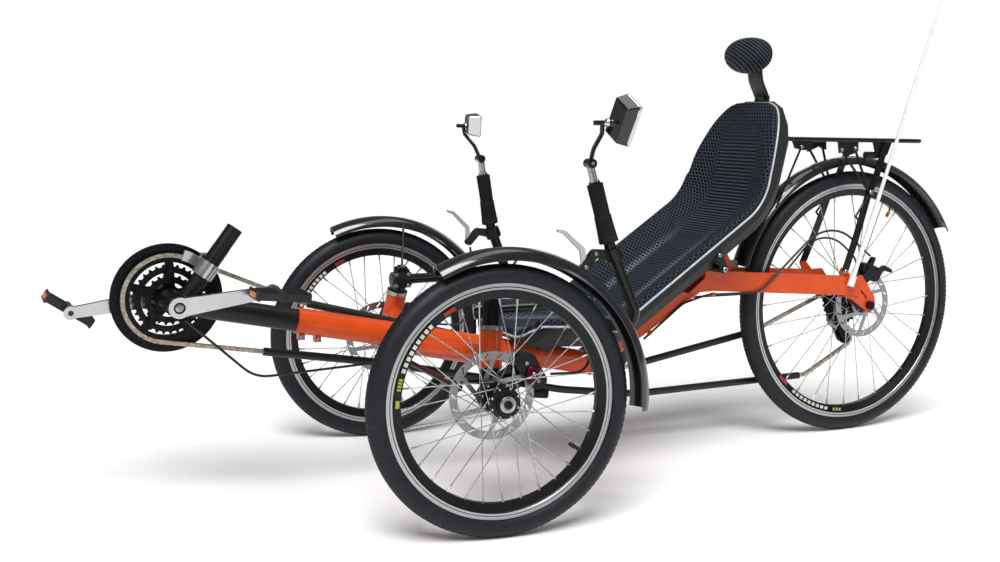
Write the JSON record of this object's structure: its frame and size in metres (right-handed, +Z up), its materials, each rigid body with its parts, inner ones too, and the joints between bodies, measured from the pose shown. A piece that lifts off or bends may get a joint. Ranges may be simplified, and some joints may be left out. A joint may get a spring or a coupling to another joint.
{
  "type": "recumbent tadpole trike",
  "caption": "Recumbent tadpole trike with an orange tube frame, mesh seat, upright bars with mirrors, disc brakes, mudguards, rear rack and flag pole.",
  "frame": {"origin": "centre of the whole bounding box's footprint, on the ground", "axes": "+X forward, +Y to the rider's left, +Z up"},
  "size_m": [2.121, 0.869, 1.3015],
  "materials": {
    "orange_paint": "gloss orange powder coat",
    "black_paint": "satin black paint",
    "tyre_rubber": "moulded rubber",
    "black_anodised": "black anodised with a machined brake band",
    "stainless_steel": "bright",
    "polished_aluminium": "polished",
    "black_steel": "black coated",
    "chain_steel": "oiled",
    "black_plastic": "gloss moulded",
    "chrome_plastic": "chromed plastic",
    "foam": "closed-cell foam",
    "shell_plastic": "moulded",
    "mesh_fabric": "knitted spacer mesh",
    "white_plastic": "glass-fibre rod",
    "cable_jacket": "extruded jacket"
  },
  "bodies": {
    "frame": {"main_frame": "orange_paint", "boom": "black_paint", "rear_stays": "orange_paint", "rear_axle": "stainless_steel", "chain": "chain_steel", "chain_tubes": "black_plastic", "front_derailleur": "stainless_steel", "rear_derailleur": "black_steel", "seat_shell": "shell_plastic", "seat_pad": "mesh_fabric", "seat_brackets": "black_paint", "headrest_pad": "mesh_fabric", "rack": "black_paint", "rear_fender": "black_plastic", "rear_caliper": "black_paint", "flag_pole": "white_plastic", "cables": "cable_jacket"},
    "steer_left": {"knuckle_left": "black_paint", "handlebar_left": "black_paint", "grip_left": "foam", "brake_lever_left": "polished_aluminium", "brake_cable_left": "cable_jacket", "mirror_arm_left": "black_paint", "mirror_left": "chrome_plastic", "fender_left": "black_plastic", "caliper_left": "black_paint"},
    "front_wheel_left": {"front_tyre_left": "tyre_rubber", "front_rim_left": "black_anodised", "front_spokes_left": "stainless_steel", "front_hub_left": "black_anodised"},
    "pedal_left": {"pedal_left": "black_steel"},
    "steer_right": {"knuckle_right": "black_paint", "handlebar_right": "black_paint", "grip_right": "foam", "brake_lever_right": "polished_aluminium", "brake_cable_right": "cable_jacket", "mirror_arm_right": "black_paint", "mirror_right": "chrome_plastic", "fender_right": "black_plastic", "caliper_right": "black_paint"},
    "front_wheel_right": {"front_tyre_right": "tyre_rubber", "front_rim_right": "black_anodised", "front_spokes_right": "stainless_steel", "front_hub_right": "black_anodised"},
    "pedal_right": {"pedal_right": "black_steel"},
    "rear_wheel": {"rear_tyre": "tyre_rubber", "rear_rim": "black_anodised", "rear_spokes": "stainless_steel", "rear_hub": "stainless_steel"},
    "crank": {"crank_arms": "polished_aluminium", "chainrings": "black_steel"},
    "tie_rod": {"tie_rod": "black_paint"}
  },
  "joints": [
    {"name": "steer_left", "type": "hinge", "parent": "frame", "child": "steer_left", "pos_m": [0.3244, 0.24839, 0.31599], "axis": [-0.11, -0.2354, 0.9657], "range_deg": [-17.8, 30.2]},
    {"name": "steer_right", "type": "hinge", "parent": "frame", "child": "steer_right", "pos_m": [0.3244, -0.28361, 0.31599], "axis": [-0.11, 0.2354, 0.9657], "range_deg": [-17.8, 30.2]},
    {"name": "tie_rod", "type": "hinge", "parent": "steer_left", "child": "tie_rod", "pos_m": [0.39382, 0.25773, 0.24941], "axis": [-0.1607, -0.23, 0.9598], "range_deg": [-30.5, 18]},
    {"name": "front_wheel_left", "type": "hinge", "parent": "steer_left", "child": "front_wheel_left", "pos_m": [0.34808, 0.34875, 0.24264], "axis": [0.105, 0.9939, 0.035], "continuous": true},
    {"name": "front_wheel_right", "type": "hinge", "parent": "steer_right", "child": "front_wheel_right", "pos_m": [0.33067, -0.38533, 0.24099], "axis": [0.1047, 0.9944, -0.0112], "continuous": true},
    {"name": "rear_wheel", "type": "hinge", "parent": "frame", "child": "rear_wheel", "pos_m": [-0.7456, -0.01761, 0.31599], "axis": [0, 1, 0], "continuous": true},
    {"name": "crank", "type": "hinge", "parent": "frame", "child": "crank", "pos_m": [0.8474, -0.01761, 0.38899], "axis": [0, 1, 0], "continuous": true},
    {"name": "pedal_left", "type": "hinge", "parent": "crank", "child": "pedal_left", "pos_m": [0.67889, 0.10739, 0.41147], "axis": [0, 1, 0], "continuous": true},
    {"name": "pedal_right", "type": "hinge", "parent": "crank", "child": "pedal_right", "pos_m": [1.01591, -0.14261, 0.36651], "axis": [0, 1, 0], "continuous": true}
  ],
  "couplings": [
    {"joint": "steer_right", "follows": "steer_left", "ratio": 1},
    {"joint": "tie_rod", "follows": "steer_left", "ratio": -1.0077}
  ]
}
